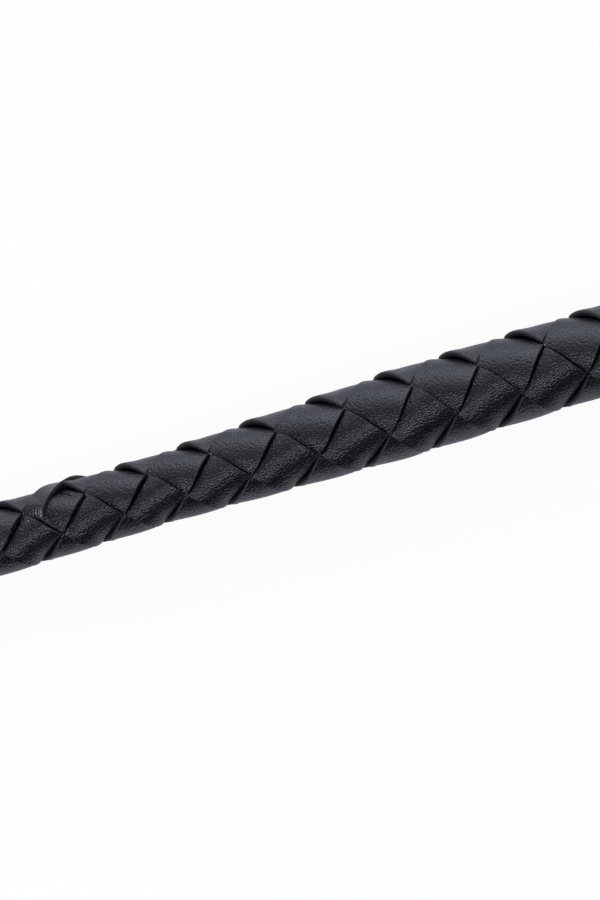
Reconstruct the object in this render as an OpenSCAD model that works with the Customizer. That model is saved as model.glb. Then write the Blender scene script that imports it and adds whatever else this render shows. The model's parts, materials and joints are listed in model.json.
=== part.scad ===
// Riding crop: a plaited leather handle on a thread-covered rod, with a wrist loop and a leather keeper.
// The bench frame has X along the crop, +X towards the butt, and x = 0 at the butt end of the handle core.
// The placed frame has its origin under the middle of the crop, on the surface that both knots rest on.

/* [Handle] */
// Diameter over the plait on the grip
grip_d = 18; // [17:0.5:20]
// Diameter over the plait on the neck, in front of the taper
neck_d = 14.3; // [13:0.1:16]
// Length of the straight grip
grip_len = 110; // [90:1:140]
// Length of the taper from grip to neck
taper_len = 49; // [35:1:65]
// Length of the neck
neck_len = 56; // [45:1:75]

/* [Plait] */
// Laces wound each way round the handle
laces_each_way = 3; // [2:1:4]
// Thickness of a lace
lace_t = 1.15; // [0.9:0.05:1.4]
// Gap between neighbouring laces
lace_gap = 0.8; // [0.5:0.1:1.2]
// Rise of a lace in the middle of a crossing that it passes over
lace_crown = 0.25; // [0:0.05:0.4]
// Distance between rows of crossings on the grip
grip_row = 6.85; // [6:0.05:8]
// Distance between rows of crossings on the neck
neck_row = 6.4; // [5.5:0.05:7.5]
// How much further apart the rows lie half way down the taper
taper_open = 0.55; // [0:0.05:1]
// Distance from the ends of the handle core to the first and last row
plait_tuck = 8.4; // [8:0.1:10]
// Turn of the plait about the handle, in degrees
plait_turn = 38; // [0:1:120]

/* [Knots] */
// Diameter over the covering knots
knot_d = 22; // [21.5:0.5:26]
// Width of a covering knot along the handle
knot_w = 16; // [14:0.5:18]
// Thickness of the front knot's plaited lace
knot_t = 2; // [1.5:0.1:2.5]
// How far the front knot reaches past the handle core
knot_overhang = 2; // [1:0.5:3]

/* [Rod] */
// Diameter of the rod in the handle
rod_d = 5.5; // [4.5:0.1:6]
// Diameter of the rod at its tip
rod_tip_d = 3; // [2.5:0.1:4]
// Length of rod in front of the handle
rod_reach = 325; // [250:5:450]
// Length of rod that stays full size in front of the handle
rod_even_len = 70; // [40:5:120]
// Distance from the butt end of the handle core to the rod's hidden end
rod_setback = 25; // [22:1:40]
// Wall of the thread cover
cover_t = 0.9; // [0.6:0.05:1.2]
// Length of the thread whipping in front of the handle
whip_len = 16; // [10:1:24]
// Thickness of the whipping at its thin end
whip_t = 0.7; // [0.5:0.1:1]
// How far the whipping squeezes the thread cover under it
whip_bite = 0.4; // [0.35:0.05:0.5]

/* [Butt] */
// Diameter of the butt cap
cap_d = 19; // [18:0.5:21]
// Thickness of the butt cap
cap_t = 4; // [3:0.5:6]
// Length of the cap's spigot in the handle core
spigot_len = 16; // [14:1:18]
// Diameter of the hidden cross pins
cross_pin_d = 2; // [1.5:0.1:2.5]
// Distance from the butt end of the core to the rod's cross pin
core_pin_at = 60; // [45:1:80]
// Diameter of the wrist loop's pin
loop_pin_d = 3; // [2.5:0.1:3.5]
// Thickness of a cap ear
ear_t = 2.2; // [1.8:0.1:3]
// Diameter of the loop pin's heads
pin_head_d = 5; // [4.5:0.1:6]
// Height of the loop pin's heads
pin_head_t = 1; // [0.6:0.1:1.5]

/* [Wrist loop] */
// Width of the strap
strap_w = 10; // [8:0.5:12]
// Thickness of the strap
strap_t = 2; // [1.6:0.1:2.4]
// Gap between the strap's two legs
leg_gap = 0.6; // [0.4:0.1:1]
// Length of the parallel legs from the loop pin
leg_len = 52; // [46:1:70]
// Radius of the loop's round end, to the middle of the strap
loop_r = 31; // [26:1:38]
// Radius of the bend where the legs part
part_r = 40; // [30:1:55]
// Distance from the loop pin to the rivet
rivet_at = 10; // [9:0.5:12]
// Diameter of the rivet
rivet_d = 2.4; // [2:0.1:3]
// Diameter of the rivet's heads
rivet_head_d = 5.6; // [4.5:0.1:6.5]
// Height of the rivet's heads
rivet_head_t = 0.8; // [0.6:0.1:1]
// Length of the slider along the strap
slider_len = 9; // [7:0.5:11]
// Wall of the slider
slider_wall = 1.8; // [1.4:0.1:2.4]
// Distance from the loop pin to the slider at rest
slider_at = 16; // [15:0.5:18]

/* [Keeper] */
// Length of the tongue from its hinge line
tongue_len = 72; // [55:1:95]
// Width of the tongue at its broad end
tongue_w = 28; // [22:1:36]
// Width of the keeper at its neck
keeper_neck_w = 12; // [10:0.5:14]
// Thickness of the keeper's leather
keeper_t = 1.8; // [1.4:0.1:2.2]
// Slit between the tongue's two leaves
leaf_gap = 0.4; // [0.2:0.1:0.8]
// Length of leather left joined at the folded end
fold_len = 5; // [4:0.5:7]
// Length of the tabs on the rod
tab_len = 32; // [28:1:44]
// Distance from the rod's tip to the hinge line
hinge_reach = 5; // [4.5:0.5:8]
// Length of the tip binding
binding_len = 24; // [18:1:26]
// Thickness of the tip binding
binding_t = 0.7; // [0.5:0.1:1]
// Distance from the tongue's edge to its stitching
stitch_inset = 3; // [2:0.25:4]
// Length of a stitch
stitch_len = 2.8; // [2:0.1:3.5]
// Distance between stitches
stitch_pitch = 4.4; // [4:0.1:6]
// Diameter of the stitching thread
stitch_d = 0.7; // [0.5:0.1:0.9]

/* [Fits] */
// Clearance between pieces that are glued or pulled tight
snug_fit = 0.1; // [0.05:0.01:0.15]
// Clearance between the laces and the handle core
core_fit = 0.2; // [0.15:0.01:0.3]
// Clearance between an upper and a lower lace
lace_fit = 0.06; // [0.04:0.01:0.1]
// Radial clearance of a turning pin
pin_fit = 0.06; // [0.03:0.01:0.09]
// Clearance round pieces that slide or swing
slide_fit = 0.3; // [0.25:0.05:0.4]

/* [Hidden] */
$fn = 64;

leather = [0.13, 0.13, 0.14];
thread = [0.09, 0.09, 0.1];
lacquer = [0.06, 0.06, 0.07];
steel = [0.75, 0.75, 0.77];
dyed_wood = [0.1, 0.09, 0.08];
glass_fibre = [0.85, 0.83, 0.72];

// Stations along the crop, in the bench frame
handle_len = grip_len + taper_len + neck_len;
grip_end = -grip_len;
neck_start = grip_end - taper_len;
whip_end = -handle_len - whip_len;
tip_x = -handle_len - rod_reach;
hinge_x = tip_x - hinge_reach;
tongue_end = hinge_x - tongue_len;

// The stack of two laces on the core
lace_stack = core_fit + 2 * lace_t + lace_fit + lace_crown;
grip_core_r = grip_d / 2 - lace_stack;
neck_core_r = neck_d / 2 - lace_stack;
rod_r = rod_d / 2;
rod_tip_r = rod_tip_d / 2;
bore_r = rod_r + snug_fit;
cover_r = bore_r + cover_t;
cover_tip_r = rod_tip_r + snug_fit + cover_t;

// The wrist loop, measured from its pin
pin_r = loop_pin_d / 2;
eye_r = pin_r + pin_fit + strap_t;
pin_x = cap_t + eye_r + slide_fit + 1;
leg_y = (leg_gap + strap_t) / 2;
loop_centre = leg_len + sqrt(pow(part_r + loop_r, 2) - pow(part_r + leg_y, 2));
loop_end = pin_x + loop_centre + loop_r + strap_t / 2;
ear_z = strap_w / 2 + slide_fit;
slider_travel = leg_len - slider_at - slider_len - slide_fit;

// The placed frame
axis_z = knot_d / 2;
middle_x = (loop_end + tongue_end) / 2;
module placed() { translate([-middle_x, 0, axis_z]) children(); }

// A shape turned about X from points [radius, x]
module turned(points) { rotate([0, 90, 0]) rotate_extrude() polygon(points); }

module tube(r_in, r_out, x_low, x_high) {
    turned([[r_in, x_low], [r_out, x_low], [r_out, x_high], [r_in, x_high]]);
}

module cross_bore(r, x, length) {
    translate([x, 0, 0]) rotate([90, 0, 0]) cylinder(r = r, h = length, center = true);
}

function mix(a, b, share) = a + (b - a) * share;
function clamp(v, low, high) = min(max(v, low), high);
function ease(u) = u * u * (3 - 2 * u);

// Share of the way from neck to grip, 0 on the neck and 1 on the grip
function taper_share(x) = clamp((x - neck_start) / taper_len, 0, 1);
function core_r_at(x) = mix(neck_core_r, grip_core_r, taper_share(x));

// Plait lattice. Rows of crossings lie along X, and each lace turns half a lace spacing from row to row.
function row_step(x) = let (u = taper_share(x))
    mix(neck_row, grip_row, u) + taper_open * 4 * u * (1 - u);
first_row = -handle_len + plait_tuck;
rows = [for (x = first_row; x <= -plait_tuck; x = x + row_step(x)) x];
last_row = len(rows) - 1;
function row_x(row) = let (i = clamp(floor(row), 0, last_row - 1))
    rows[i] + (row - i) * (rows[i + 1] - rows[i]);
row_turn = 180 / laces_each_way;

// Share of a lattice cell that stays open between neighbouring laces, from the lace gap on the grip
cell_arc = PI * (grip_core_r + lace_t) * row_turn / 180;
cell_pitch = 2 * cell_arc * grip_row / norm([cell_arc, grip_row]);
open_share = lace_gap / cell_pitch;
edge = 0.5 - open_share / 2;
cell_marks = [-edge, -edge / 3, edge / 3, edge];
marks = len(cell_marks);

// A lattice point: right and left are the positions across the right-hand and the left-hand laces
function lattice_point(right, left, rise) = let (
        x = row_x(left - right),
        turn = plait_turn + row_turn * (right + left),
        r = core_r_at(x) + core_fit + rise
    ) [x, r * sin(turn), r * cos(turn)];

// Height of a lace's underside in a cell: on the core where it passes under, on the other lace where it passes over
function lace_rise(over, mark) =
    over ? lace_t + lace_fit + (abs(mark) < edge ? lace_crown : 0) : 0;

// A lace is swept cell by cell. Each ring has its inner points first, then its outer ones.
function lace_points(hand, number) = [
    for (cell = [0 : last_row], along = cell_marks)
        let (rise = lace_rise((cell % 2 == 0) == (hand > 0), along))
        for (layer = [0, lace_t], across = cell_marks)
            hand > 0
                ? lattice_point(number + across, number + cell + along, rise + layer)
                : lattice_point(number - cell - along, number + across, rise + layer)
];

// The two triangles of a quad, cut along the diagonal that both hands of lace share
function quad(a, b, c, d, hand) = hand > 0 ? [[a, b, d], [b, c, d]] : [[a, c, b], [a, d, c]];

function lace_faces(hand) = let (ring = 2 * marks, last = marks * (last_row + 1) - 1) [
    for (i = [0 : last - 1], j = [0 : marks - 2]) let (p = i * ring + j)
        each concat(
            quad(p, p + 1, p + ring + 1, p + ring, hand),
            quad(p + marks + ring, p + marks + ring + 1, p + marks + 1, p + marks, hand)
        ),
    for (i = [0 : last - 1]) let (p = i * ring, q = p + marks - 1)
        each concat(
            quad(p, p + ring, p + ring + marks, p + marks, hand),
            quad(q + marks, q + marks + ring, q + ring, q, hand)
        ),
    for (j = [0 : marks - 2]) let (q = last * ring + j)
        each concat(
            quad(j, j + marks, j + marks + 1, j + 1, hand),
            quad(q + 1, q + marks + 1, q + marks, q, hand)
        )
];

module lace(hand, number) {
    color(leather) placed() polyhedron(lace_points(hand, number), lace_faces(hand), convexity = 10);
}

// Rod, its thread cover, and the turned core that builds up the handle
module shaft_rod() {
    even_end = -handle_len - rod_even_len;
    color(glass_fibre) placed() difference() {
        turned([[0, tip_x], [rod_tip_r, tip_x], [rod_r, even_end], [rod_r, -rod_setback], [0, -rod_setback]]);
        cross_bore(cross_pin_d / 2 + snug_fit, -core_pin_at, rod_d * 2);
    }
}

module shaft_cover() {
    even_end = -handle_len - rod_even_len;
    color(thread) placed() turned([
        [rod_tip_r + snug_fit, tip_x], [cover_tip_r, tip_x], [cover_r, even_end],
        [cover_r, whip_end], [cover_r - whip_bite, whip_end],
        [cover_r - whip_bite, -handle_len], [bore_r, -handle_len], [bore_r, even_end]
    ]);
}

module handle_core() {
    color(dyed_wood) placed() difference() {
        turned([
            [bore_r, -handle_len], [neck_core_r, -handle_len], [neck_core_r, neck_start],
            [grip_core_r, grip_end], [grip_core_r, 0], [bore_r, 0]
        ]);
        cross_bore(cross_pin_d / 2 + snug_fit, -core_pin_at, grip_d);
        cross_bore(cross_pin_d / 2 + snug_fit, -spigot_len / 2, grip_d);
    }
}

module cross_pin(x) {
    color(steel) placed() cross_bore(cross_pin_d / 2, x, 2 * grip_core_r - 2 * core_fit);
}

// Covering knots: barrels whose outline is a flattened ellipse
module knot_barrel(r_in, x_low) {
    steps = 24;
    flatness = 3;
    rise = knot_d / 2 - r_in;
    color(leather) placed() turned([
        for (i = [0 : steps]) let (u = 2 * i / steps - 1)
            [r_in + rise * pow(1 - pow(abs(u), flatness), 1 / flatness), x_low + knot_w * i / steps]
    ]);
}

module butt_knot() { knot_barrel(grip_d / 2 + snug_fit, -knot_w); }

front_knot_x = -handle_len - knot_overhang;
foundation_r = knot_d / 2 - knot_t;
module front_knot() { knot_barrel(foundation_r + snug_fit, front_knot_x); }

module front_foundation() {
    color(leather) placed()
        tube(neck_d / 2 + snug_fit, foundation_r, front_knot_x + knot_t / 2, front_knot_x + knot_w - knot_t / 2);
}

module front_whipping() {
    whip_r = cover_r - whip_bite + snug_fit;
    color(thread) placed() turned([
        [whip_r, whip_end + snug_fit], [whip_r + whip_t, whip_end + snug_fit],
        [neck_core_r + lace_t, -handle_len - snug_fit], [whip_r, -handle_len - snug_fit]
    ]);
}

// Butt cap: a domed disc with a spigot, and two ears that carry the wrist loop's pin
module ear_plate() {
    reach = pin_x - cap_t / 2;
    linear_extrude(ear_t) {
        translate([cap_t / 2, -eye_r]) square([reach, 2 * eye_r]);
        translate([pin_x, 0]) circle(eye_r);
    }
}

module butt_cap() {
    cap_r = cap_d / 2;
    chamfer = cap_t / 3;
    color(lacquer) placed() difference() {
        union() {
            turned([
                [0, -spigot_len], [rod_r, -spigot_len], [rod_r, snug_fit], [cap_r, snug_fit],
                [cap_r, cap_t - chamfer], [cap_r - chamfer, cap_t], [0, cap_t]
            ]);
            translate([0, 0, ear_z]) ear_plate();
            translate([0, 0, -ear_z - ear_t]) ear_plate();
        }
        translate([pin_x, 0, 0]) cylinder(r = pin_r + pin_fit, h = 4 * ear_z, center = true);
        cross_bore(cross_pin_d / 2 + snug_fit, -spigot_len / 2, rod_d * 2);
    }
}

module loop_pin() {
    shank = 2 * (ear_z + ear_t + pin_fit);
    color(steel) placed() translate([pin_x, 0, 0]) {
        cylinder(r = pin_r, h = shank, center = true);
        for (side = [-1, 1])
            translate([0, 0, side * (shank + pin_head_t) / 2])
                cylinder(d = pin_head_d, h = pin_head_t, center = true);
    }
}

// Wrist loop. One half of its outline lies a given distance outside the strap's middle line.
function loop_half(outside) = let (
        bend = atan2(loop_centre - leg_len, part_r + leg_y),
        steps = 12
    ) concat(
        [[0, leg_y + outside]],
        [for (i = [0 : steps]) let (a = bend * i / steps)
            [leg_len + (part_r - outside) * sin(a), leg_y + part_r - (part_r - outside) * cos(a)]],
        [for (i = [1 : 2 * steps]) let (a = (90 + bend) * (1 - i / (2 * steps)))
            [loop_centre + (loop_r + outside) * cos(a), (loop_r + outside) * sin(a)]]
    );
function mirrored_back(points) = [for (i = [len(points) - 1 : -1 : 0]) [points[i][0], -points[i][1]]];
module loop_outline(outside) {
    half = loop_half(outside);
    polygon(concat(half, mirrored_back(half)));
}

module loop_strap() {
    color(leather) placed() translate([pin_x, 0, 0]) difference() {
        union() {
            translate([0, 0, -strap_w / 2]) linear_extrude(strap_w) difference() {
                loop_outline(strap_t / 2);
                loop_outline(-strap_t / 2);
            }
            cylinder(r = eye_r, h = strap_w, center = true);
        }
        cylinder(r = pin_r + pin_fit, h = 2 * strap_w, center = true);
        cross_bore(rivet_d / 2 + snug_fit, rivet_at, 4 * strap_t + leg_gap);
    }
}

module loop_rivet() {
    grip = leg_gap + 2 * strap_t;
    color(steel) placed() translate([pin_x + rivet_at, 0, 0]) rotate([90, 0, 0]) {
        cylinder(d = rivet_d, h = grip, center = true);
        for (side = [-1, 1])
            translate([0, 0, side * (grip + rivet_head_t) / 2])
                cylinder(d = rivet_head_d, h = rivet_head_t, center = true);
    }
}

module loop_slider() {
    hole = [2 * slider_len, leg_gap + 2 * strap_t + 2 * slide_fit, strap_w + 2 * slide_fit];
    body = [slider_len, hole[1] + 2 * slider_wall, hole[2] + 2 * slider_wall];
    color(leather) placed() translate([pin_x + slider_at + slider_len / 2, 0, 0]) difference() {
        cube(body, center = true);
        cube(hole, center = true);
    }
}

// Keeper: tabs bound to the rod's tip, and a folded tongue that bends at the hinge line
knuckle_r = keeper_t + leaf_gap / 2;
tab_r = cover_tip_r + (cover_r - cover_tip_r) * tab_len / (rod_reach - rod_even_len) + snug_fit + keeper_t;

module keeper_tabs() {
    neck_x = hinge_x + knuckle_r + slide_fit;
    color(leather) placed() difference() {
        union() {
            tube(0, tab_r, tip_x - keeper_t, tip_x + tab_len);
            translate([neck_x, -keeper_neck_w / 2, -knuckle_r])
                cube([tip_x + keeper_t - neck_x, keeper_neck_w, 2 * knuckle_r]);
        }
        turned([
            [0, tip_x - snug_fit], [cover_tip_r + snug_fit, tip_x - snug_fit],
            [tab_r - keeper_t, tip_x + tab_len], [tab_r - keeper_t, tip_x + 2 * tab_len], [0, tip_x + 2 * tab_len]
        ]);
    }
}

module tip_binding() {
    start = tip_x + (tab_len - binding_len) / 2;
    color(thread) placed() tube(tab_r + snug_fit, tab_r + snug_fit + binding_t, start, start + binding_len);
}

// Half the tongue's width at a distance from the hinge line
function tongue_half(reach) = let (
        flare = ease(clamp(reach / (tongue_len * 0.6), 0, 1)),
        round_end = clamp((reach - tongue_len + tongue_w / 2) / (tongue_w / 2), 0, 1)
    ) mix(keeper_neck_w, tongue_w, flare) / 2 * sqrt(1 - 0.8 * pow(round_end, 3));

module tongue_outline() {
    steps = 36;
    half = [for (i = [0 : steps]) let (reach = tongue_len * i / steps) [-reach, tongue_half(reach)]];
    polygon(concat(half, mirrored_back(half)));
}

module keeper_tongue() {
    color(leather) placed() translate([hinge_x, 0, 0]) difference() {
        union() {
            translate([0, 0, -knuckle_r]) linear_extrude(2 * knuckle_r) tongue_outline();
            rotate([90, 0, 0]) cylinder(r = knuckle_r, h = keeper_neck_w, center = true);
        }
        translate([fold_len - tongue_len, -tongue_w, -leaf_gap / 2])
            cube([tongue_len - 2 * fold_len, 2 * tongue_w, leaf_gap]);
    }
}

module keeper_stitching() {
    first = 2 * fold_len;
    last = tongue_len - 2 * fold_len;
    color(thread) placed() translate([hinge_x, 0, 0])
        for (reach = [first : stitch_pitch : last], side = [-1, 1], face = [-1, 1]) {
            ahead = tongue_half(reach + stitch_len) - tongue_half(reach);
            translate([-reach, side * (tongue_half(reach) - stitch_inset), face * (knuckle_r + stitch_d / 2)])
                rotate([0, -90, -side * atan(ahead / stitch_len)])
                    cylinder(d = stitch_d, h = stitch_len, $fn = 16);
        }
}

shaft_rod();
shaft_cover();
handle_core();
cross_pin(-core_pin_at);  // core_pin
cross_pin(-spigot_len / 2);  // cap_pin
lace(1, 0);  // right_lace_1
lace(1, 1);  // right_lace_2
lace(1, 2);  // right_lace_3
lace(-1, 0);  // left_lace_1
lace(-1, 1);  // left_lace_2
lace(-1, 2);  // left_lace_3
butt_knot();
front_foundation();
front_knot();
front_whipping();
butt_cap();
loop_pin();
loop_strap();
loop_rivet();
loop_slider();
keeper_tabs();
tip_binding();
keeper_tongue();
keeper_stitching();
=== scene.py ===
"""Looks of a riding crop: plaited handle, covering knots, thread-covered shaft, wrist loop and keeper.

Every surface is worked out in the part's own frame: X runs along the crop, +X towards the butt, Z is up.
"""
import json
import math

import bpy
import numpy as np
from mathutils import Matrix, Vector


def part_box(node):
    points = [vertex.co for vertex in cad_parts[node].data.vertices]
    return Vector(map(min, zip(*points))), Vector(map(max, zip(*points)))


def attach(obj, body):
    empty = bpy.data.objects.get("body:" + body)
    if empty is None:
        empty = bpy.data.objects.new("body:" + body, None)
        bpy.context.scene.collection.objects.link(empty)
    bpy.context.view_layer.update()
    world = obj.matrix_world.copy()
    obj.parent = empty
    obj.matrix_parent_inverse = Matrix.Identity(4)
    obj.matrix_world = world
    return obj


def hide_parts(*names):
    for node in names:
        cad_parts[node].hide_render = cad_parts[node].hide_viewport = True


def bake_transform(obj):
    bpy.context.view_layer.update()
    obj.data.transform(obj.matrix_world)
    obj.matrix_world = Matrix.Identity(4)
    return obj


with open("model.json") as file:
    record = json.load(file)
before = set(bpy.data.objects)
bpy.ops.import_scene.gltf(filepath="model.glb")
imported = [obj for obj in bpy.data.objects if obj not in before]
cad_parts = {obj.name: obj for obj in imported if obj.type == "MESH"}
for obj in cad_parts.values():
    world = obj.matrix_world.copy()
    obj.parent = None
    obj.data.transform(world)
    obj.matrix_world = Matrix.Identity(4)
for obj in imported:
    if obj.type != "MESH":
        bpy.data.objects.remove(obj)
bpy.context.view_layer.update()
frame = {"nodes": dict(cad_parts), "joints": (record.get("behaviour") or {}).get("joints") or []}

MM = 0.001
TAU = 2 * math.pi
QUARTER = math.pi / 2

# Places read from the frame
joints = {joint["name"]: joint for joint in frame["joints"]}
core_low, core_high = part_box("handle_core")
FRONT_X = core_low.x
BUTT_X = core_high.x
PIN_X, _, AXIS_Z = joints["wrist_loop_swing"]["pos_m"]
HINGE_X = joints["keeper_flap"]["pos_m"][0]

# Handle and plait, the same sizes as the part's own
GRIP_R = 9.0 * MM
NECK_R = 7.15 * MM
GRIP_LEN = 110 * MM
TAPER_LEN = 49 * MM
LACES_EACH_WAY = 3
LACE_T = 1.15 * MM
GRIP_ROW = 6.85 * MM
NECK_ROW = 6.4 * MM
TAPER_OPEN = 0.55 * MM
PLAIT_TUCK = 8.4 * MM

# Finer shape of the laces, for the looks only
PLAIT_TURN = math.radians(36.5)
LACE_SPACING = 10.9 * MM
LACE_GAP_SHARE = 0.015
LACE_SWAY = 0.012
LACE_FINE_SWAY = 0.008
LACE_SWELL = 0.025
LACE_EDGE_R = 0.09 * MM
LACE_CUP = 0.30 * MM
PILLOW_SHARE = 0.75
RIGHT_OVER = 0.53
RIGHT_TUCK = 0.75 * MM
RIGHT_END_SINK = 0.25 * MM
LEFT_OVER_RISING = 0.473
LEFT_OVER_FALLING = 0.492
LEFT_TUCK = 0.42 * MM
LEFT_CURL = 0.36 * MM
LEFT_CURL_FROM = 0.35
LEFT_CORNER_PRESS = 0.3 * MM
CUT_FROM = 0.6
TURN_DOWN_POWER = 40
TUCK_LEAD = 0.02
TUCK_RUN = 0.06
LACE_STEPS = 44
SPLICED_LACE = 1
SPLICE_ROW = 4
SPLICE_SINK = 0.45 * MM
SPLICE_COVERS = 0.35
SPLICE_EASE = 0.15

# Knots and threads
KNOT_R = 11.0 * MM
KNOT_INNER_R = 9.1 * MM
KNOT_BIGHTS = 7
KNOT_LEADS = 3
KNOT_REACH = 5.0 * MM
KNOT_LACE_HALF = 2.95 * MM
KNOT_LACE_T = 0.95 * MM
KNOT_GROOVE = 0.45
KNOT_SNAP = 1.7
KNOT_STEPS = 70
KNOT_EVEN = 4.0 * MM
KNOT_SLOPE = 4.4 * MM
KNOT_DIP = 1.6 * MM
FRONT_KNOT_BUTT_DIP = 1.4 * MM
PAD_R = 8.95 * MM
PAD_BORE_R = 7.25 * MM
THREAD_PITCH = 0.8 * MM
THREAD_DEPTH = 0.42 * THREAD_PITCH
THREAD_ROUND = 0.92
ROWS_PER_STRAND = 9
WHIP_FRONT_R = 4.15 * MM
BRAID_STRANDS = 8
BRAID_CELL = 2.945 * MM
BRAID_ROUND = 0.30 * MM
BRAID_ARCH = 0.26 * MM
COVER_R = 3.75 * MM
COVER_TIP_R = 2.5 * MM
COVER_EVEN_LEN = 70 * MM

# Butt cap, pin and rivet
CAP_R = 9.5 * MM
CAP_T = 4.0 * MM
CAP_RIM_T = 2.1 * MM
EAR_Z = 5.3 * MM
EAR_T = 2.2 * MM
EAR_EDGE_R = 0.5 * MM
EYE_R = 3.56 * MM
PIN_R = 1.5 * MM
PIN_FIT = 0.06 * MM
PIN_HEAD_R = 2.5 * MM
PIN_HEAD_T = 1.0 * MM
RIVET_AT = 10.0 * MM
RIVET_R = 1.2 * MM
RIVET_HEAD_R = 2.8 * MM
RIVET_HEAD_T = 0.8 * MM
HEAD_RIM = 0.3

# Wrist loop and slider
STRAP_W = 10.0 * MM
STRAP_T = 2.0 * MM
CREASE_W = 0.22 * MM
EYE_LEAVE = 1.05
EYE_LEAD = 2.2 * MM
LEG_LEAD = 2.6 * MM
LEG_START = 7 * MM
LEG_Y = 1.3 * MM
LEG_LEN = 52.0 * MM
PART_R = 40.0 * MM
LOOP_R = 31.0 * MM
SLIDER_HALF_T = 0.9 * MM
SLIDER_ROUND_R = 1.4 * MM

# Keeper and its stitching
TONGUE_LEN = 72.0 * MM
TONGUE_W = 28.0 * MM
TONGUE_FLARE = 0.6 * TONGUE_LEN
TONGUE_ROUND = 0.8
KEEPER_NECK_W = 12.0 * MM
KEEPER_T = 1.8 * MM
KEEPER_BOW = 0.002 / MM
LEAF_Z = 1.1 * MM
TAB_R = 3.66 * MM
TAB_HALF_W = 5.5 * MM
TAB_FLARE = 0.5 * MM
LET_GO_FROM = 6.3 * MM
LET_GO_LEN = 7 * MM
FIRST_STITCH = 10 * MM
LAST_STITCH = 62.1 * MM
STITCH_PITCH = 4.4 * MM
STITCH_LEN = 2.8 * MM
STITCH_INSET = 3.0 * MM
STITCH_R = 0.33 * MM
STITCH_ROUND = 1.9
STITCH_LIFT = 0.16 * MM
STITCH_DIP = 0.5 * MM

# The photographed view: straight down, with the crop rising to the right
VIEW_TURN = math.radians(17.42)
VIEW_BACK_FROM_BUTT = 131.3 * MM
VIEW_SIDE = -0.8 * MM
VIEW_HEIGHT = 0.75
VIEW_FRAME = 180 * MM
SENSOR = 36.0

# Light and floor
LAMP_AIM_X = 0.05
LAMP_TINT = (0.90, 0.94, 1.10)
ROOM_TINT = (0.90, 0.95, 1.10, 1)
WHITE = (1, 1, 1, 1)
FLOOR_REACH = 3.0
FLOOR_GLOW = 0.93
FLOOR_MIRRORED = 0.1


# Meshes from grids of points

def smooth_step(u):
    """0 up to u = 0, 1 from u = 1, and an even S between."""
    u = np.clip(u, 0, 1)
    return u * u * (3 - 2 * u)


def arc(x, y, r, turn):
    """Points of a circle about (x, y), at turns from the first direction towards the second."""
    return np.stack([x + r * np.cos(turn), y + r * np.sin(turn)], -1)


def round_axis(x, r, turn):
    """Points at a place along the crop, a radius and a turn from +Z towards +Y."""
    x, r, turn = np.broadcast_arrays(x, r, turn)
    return np.stack([x, r * np.sin(turn), AXIS_Z + r * np.cos(turn)], -1)


def ring_turns(count):
    """Even turns round the axis, as one row."""
    return np.linspace(0, TAU, count, endpoint=False)[None, :]


def quad_corners(rows, cols, close_rows):
    """Corner numbers of every quad of a grid: columns always run round, rows only where they are closed."""
    i = np.arange(rows if close_rows else rows - 1)[:, None]
    j = np.arange(cols)[None, :]
    i_next = (i + 1) % rows
    j_next = (j + 1) % cols
    corners = [i * cols + j, i * cols + j_next, i_next * cols + j_next, i_next * cols + j]
    return np.stack(corners, axis=-1).reshape(-1, 4)


def grid_part(points, close_rows=False, marks=None):
    """One closed shell from a grid of points: rows run along it and columns run round it.

    Open ends close on a fan about the middle of their ring. The sign of the shell's volume turns the faces
    outward. marks gives one float per point for each named attribute.
    """
    rows, cols, _ = points.shape
    verts = points.reshape(-1, 3)
    quads = quad_corners(rows, cols, close_rows)
    fans = np.zeros((0, 3), int)
    values = {key: value.reshape(-1) for key, value in (marks or {}).items()}
    if not close_rows:
        ring = np.arange(cols)
        ring_next = (ring + 1) % cols
        first = np.stack([ring_next, ring, np.full(cols, rows * cols)], axis=-1)
        last = np.stack([ring, ring_next, np.full(cols, rows * cols)], axis=-1)
        last[:, :2] += (rows - 1) * cols
        last[:, 2] += 1
        fans = np.concatenate([first, last])
        verts = np.concatenate([verts, [points[0].mean(0), points[-1].mean(0)]])
        values = {key: np.concatenate([v, [v[:cols].mean(), v[-cols:].mean()]]) for key, v in values.items()}
    corners = np.concatenate([quads[:, [0, 1, 2]], quads[:, [0, 2, 3]], fans])
    a, b, c = (verts - verts.mean(0))[corners].transpose(1, 0, 2)
    if np.einsum("ij,ij->", a, np.cross(b, c)) < 0:
        quads = quads[:, ::-1]
        fans = fans[:, ::-1]
    return verts, quads, fans, values


def mesh_object(name, *parts):
    """One smooth-shaded object from one or more shells."""
    starts = np.cumsum([0] + [len(part[0]) for part in parts])
    faces = []
    for start, (_, quads, fans, _) in zip(starts, parts):
        faces += (quads + start).tolist() + (fans + start).tolist()
    mesh = bpy.data.meshes.new(name)
    mesh.from_pydata(np.concatenate([part[0] for part in parts]).tolist(), [], faces)
    mesh.polygons.foreach_set("use_smooth", np.ones(len(mesh.polygons), bool))
    for key in parts[0][3]:
        attribute = mesh.attributes.new(key, "FLOAT", "POINT")
        values = np.concatenate([part[3][key] for part in parts])
        attribute.data.foreach_set("value", values.astype(np.float32))
    mesh.update()
    piece = bpy.data.objects.new(name, mesh)
    bpy.context.scene.collection.objects.link(piece)
    return piece


def dress(piece, body, slot, finish, *nodes):
    """Give a piece its finish and its body, and hide the nodes it stands for. slot is not used."""
    piece.data.materials.append(finish)
    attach(piece, body)
    if nodes:
        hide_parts(*nodes)


# The plait

NECK_START = BUTT_X - GRIP_LEN - TAPER_LEN
ROW_TURN = math.pi / LACES_EACH_WAY


def taper_share(x):
    """0 on the neck, 1 on the grip, and even between."""
    return np.clip((x - NECK_START) / TAPER_LEN, 0, 1)


def plait_radius(x):
    """Radius over the plait: the neck's, the grip's, and even between along the taper."""
    return NECK_R + (GRIP_R - NECK_R) * taper_share(x)


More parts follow.
